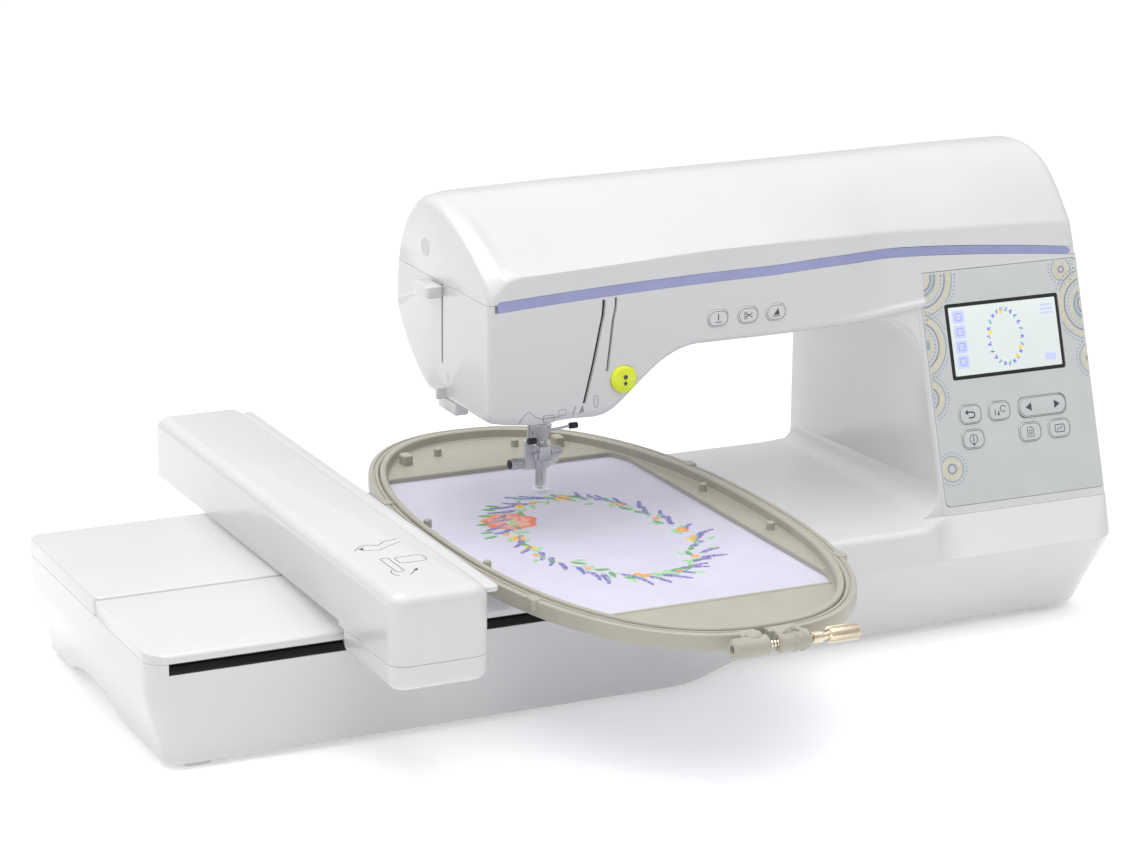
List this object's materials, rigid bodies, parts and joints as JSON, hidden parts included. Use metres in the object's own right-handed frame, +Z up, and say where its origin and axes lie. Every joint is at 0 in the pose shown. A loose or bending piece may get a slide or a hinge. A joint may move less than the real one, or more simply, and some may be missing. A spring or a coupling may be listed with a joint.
{
  "type": "embroidery machine",
  "caption": "Household embroidery machine: free-arm head with leaning control panel, left embroidery unit, travelling carriage and a large bowed hoop.",
  "frame": {"origin": "middle of the underside of the whole machine, on the table", "axes": "+X to the operator's right, +Y to the back, +Z up"},
  "size_m": [0.682, 0.4914, 0.293],
  "materials": {
    "body_white": "gloss pearl white moulding",
    "stripe_lavender": "satin lavender trim",
    "panel_silver": "satin silver-grey overlay",
    "screen_black": "black screen surround",
    "button_lime": "translucent yellow-green",
    "hoop_taupe": "satin taupe moulding",
    "hoop_cloth": "plain-woven white cotton, embroidered",
    "nickel": "knurled warm nickel",
    "steel": "ground steel",
    "cast_metal": "cast, unpainted",
    "clear_plastic": "milky clear",
    "black_plastic": "fine texture",
    "rubber": "matt",
    "board_green": "solder mask"
  },
  "bodies": {
    "machine": {"base_casing": "body_white", "base_plate": "panel_silver", "machine_foot_front": "rubber", "machine_foot_rear": "rubber", "front_casing": "body_white", "rear_casing": "body_white", "face_cover": "body_white", "accent_stripe": "stripe_lavender", "spool_tray": "body_white", "spool_pin": "body_white", "panel_overlay": "panel_silver", "lcd_module": "screen_black", "control_board": "board_green", "chassis_frame": "cast_metal", "main_motor": "cast_metal", "drive_belt": "rubber", "timing_belt": "rubber", "needle_plate": "steel", "bobbin_cover": "clear_plastic", "power_inlet": "black_plastic", "unit_case": "body_white", "unit_front_panel": "body_white", "unit_rear_panel": "body_white", "unit_x_rail": "steel"},
    "lid": {"top_lid": "body_white"},
    "carriage": {"carriage_cover": "body_white", "carriage_base": "body_white", "carriage_rail": "steel"},
    "hoop": {"frame_holder": "black_plastic", "hoop_outer_ring": "hoop_taupe", "hoop_inner_ring": "hoop_taupe", "hoop_fabric": "hoop_cloth"},
    "lock_lever": {"frame_lock_lever": "black_plastic"},
    "clamp_screw": {"hoop_clamp_screw": "nickel"},
    "drive_shaft": {"main_shaft": "steel", "handwheel": "body_white"},
    "motor_rotor": {"motor_pulley": "steel"},
    "lower_drive": {"lower_shaft": "steel"},
    "hook": {"rotary_hook": "steel"},
    "bobbin_reel": {"bobbin": "clear_plastic"},
    "needle_carrier": {"needle_bar": "steel", "needle": "steel"},
    "presser": {"presser_bar": "steel", "embroidery_foot": "clear_plastic", "foot_screw": "steel"},
    "lifter": {"foot_lever": "body_white"},
    "take_up": {"take_up_lever": "steel"},
    "threader": {"threader_lever": "body_white"},
    "winder": {"bobbin_winder": "body_white"},
    "start_button": {"start_stop_button": "button_lime"},
    "needle_key": {"needle_position_key": "body_white"},
    "cut_key": {"thread_cut_key": "body_white"},
    "lift_key": {"foot_lift_key": "body_white"},
    "panel_back_key": {"back_key": "panel_silver"},
    "panel_frame_key": {"frame_key": "panel_silver"},
    "panel_stitch_key": {"stitch_key": "panel_silver"},
    "panel_list_key": {"list_key": "panel_silver"},
    "panel_help_key": {"help_key": "panel_silver"},
    "panel_rocker": {"page_rocker": "panel_silver"},
    "mains_switch": {"power_switch": "black_plastic"}
  },
  "joints": [
    {"name": "lid_hinge", "type": "hinge", "parent": "machine", "child": "lid", "pos_m": [0.11, 0.15275, 0.25], "axis": [-1, 0, 0], "range_deg": [0, 65]},
    {"name": "carriage_x", "type": "slide", "parent": "machine", "child": "carriage", "axis": [1, 0, 0], "range_m": [-0.075, 0.08]},
    {"name": "hoop_y", "type": "slide", "parent": "carriage", "child": "hoop", "axis": [0, 1, 0], "range_m": [-0.03, 0.228]},
    {"name": "lock_lever_turn", "type": "hinge", "parent": "hoop", "child": "lock_lever", "pos_m": [-0.155, -0.01625, 0.0935], "axis": [0, 0, -1], "range_deg": [0, 22]},
    {"name": "clamp_turn", "type": "hinge", "parent": "hoop", "child": "clamp_screw", "pos_m": [-0.011, -0.23975, 0.089], "axis": [1, 0, 0], "range_deg": [0, 720]},
    {"name": "shaft_turn", "type": "hinge", "parent": "machine", "child": "drive_shaft", "pos_m": [0.109, 0.07175, 0.226], "axis": [1, 0, 0], "continuous": true},
    {"name": "motor_turn", "type": "hinge", "parent": "machine", "child": "motor_rotor", "pos_m": [0.267, 0.07175, 0.104], "axis": [1, 0, 0], "continuous": true},
    {"name": "lower_turn", "type": "hinge", "parent": "machine", "child": "lower_drive", "pos_m": [0.139, 0.08175, 0.045], "axis": [1, 0, 0], "continuous": true},
    {"name": "hook_turn", "type": "hinge", "parent": "machine", "child": "hook", "pos_m": [-0.0205, 0.07175, 0.06], "axis": [0, 0, 1], "continuous": true},
    {"name": "bobbin_turn", "type": "hinge", "parent": "machine", "child": "bobbin_reel", "pos_m": [-0.0205, 0.07175, 0.068], "axis": [0, 0, 1], "continuous": true},
    {"name": "needle_stroke", "type": "slide", "parent": "machine", "child": "needle_carrier", "axis": [0, 0, 1], "range_m": [0, 0.03]},
    {"name": "foot_lift", "type": "slide", "parent": "machine", "child": "presser", "axis": [0, 0, 1], "range_m": [0, 0.0119]},
    {"name": "lifter_turn", "type": "hinge", "parent": "machine", "child": "lifter", "pos_m": [-0.041, 0.15675, 0.196], "axis": [0, -1, 0], "range_deg": [0, 50]},
    {"name": "take_up_swing", "type": "hinge", "parent": "machine", "child": "take_up", "pos_m": [-0.048, 0.04175, 0.214], "axis": [1, 0, 0], "range_deg": [-25, 20]},
    {"name": "threader_pull", "type": "slide", "parent": "machine", "child": "threader", "axis": [0, 0, 1], "range_m": [-0.034, 0], "stiffness_N_per_m": 15, "springref_m": 0.01},
    {"name": "winder_turn", "type": "hinge", "parent": "machine", "child": "winder", "pos_m": [0.259, 0.10175, 0.25], "axis": [0, 0, 1], "continuous": true},
    {"name": "start_press", "type": "slide", "parent": "machine", "child": "start_button", "axis": [0, 1, 0], "range_m": [0, 0.0015], "stiffness_N_per_m": 300},
    {"name": "needle_key_press", "type": "slide", "parent": "machine", "child": "needle_key", "axis": [0, 1, 0], "range_m": [0, 0.001], "stiffness_N_per_m": 300},
    {"name": "cut_key_press", "type": "slide", "parent": "machine", "child": "cut_key", "axis": [0, 1, 0], "range_m": [0, 0.001], "stiffness_N_per_m": 300},
    {"name": "lift_key_press", "type": "slide", "parent": "machine", "child": "lift_key", "axis": [0, 1, 0], "range_m": [0, 0.001], "stiffness_N_per_m": 300},
    {"name": "back_key_press", "type": "slide", "parent": "machine", "child": "panel_back_key", "axis": [0, 0.9527, -0.304], "range_m": [0, 0.0007], "stiffness_N_per_m": 300},
    {"name": "frame_key_press", "type": "slide", "parent": "machine", "child": "panel_frame_key", "axis": [0, 0.9527, -0.304], "range_m": [0, 0.0007], "stiffness_N_per_m": 300},
    {"name": "stitch_key_press", "type": "slide", "parent": "machine", "child": "panel_stitch_key", "axis": [0, 0.9527, -0.304], "range_m": [0, 0.0007], "stiffness_N_per_m": 300},
    {"name": "list_key_press", "type": "slide", "parent": "machine", "child": "panel_list_key", "axis": [0, 0.9527, -0.304], "range_m": [0, 0.0007], "stiffness_N_per_m": 300},
    {"name": "help_key_press", "type": "slide", "parent": "machine", "child": "panel_help_key", "axis": [0, 0.9527, -0.304], "range_m": [0, 0.0007], "stiffness_N_per_m": 300},
    {"name": "rocker_tilt", "type": "hinge", "parent": "machine", "child": "panel_rocker", "pos_m": [0.2803, -0.02994, 0.13909], "axis": [0, 0.304, 0.9527], "range_deg": [-2, 2], "stiffness_Nm_per_rad": 0.05},
    {"name": "mains_switch_tilt", "type": "hinge", "parent": "machine", "child": "mains_switch", "pos_m": [0.32, 0.03175, 0.046], "axis": [0, 1, 0], "range_deg": [-6, 6]}
  ],
  "couplings": [
    {"joint": "motor_turn", "follows": "shaft_turn", "ratio": 2},
    {"joint": "lower_turn", "follows": "shaft_turn", "ratio": 1},
    {"joint": "hook_turn", "follows": "shaft_turn", "ratio": 2},
    {"joint": "lifter_turn", "follows": "foot_lift", "rad_per_m": 73}
  ]
}
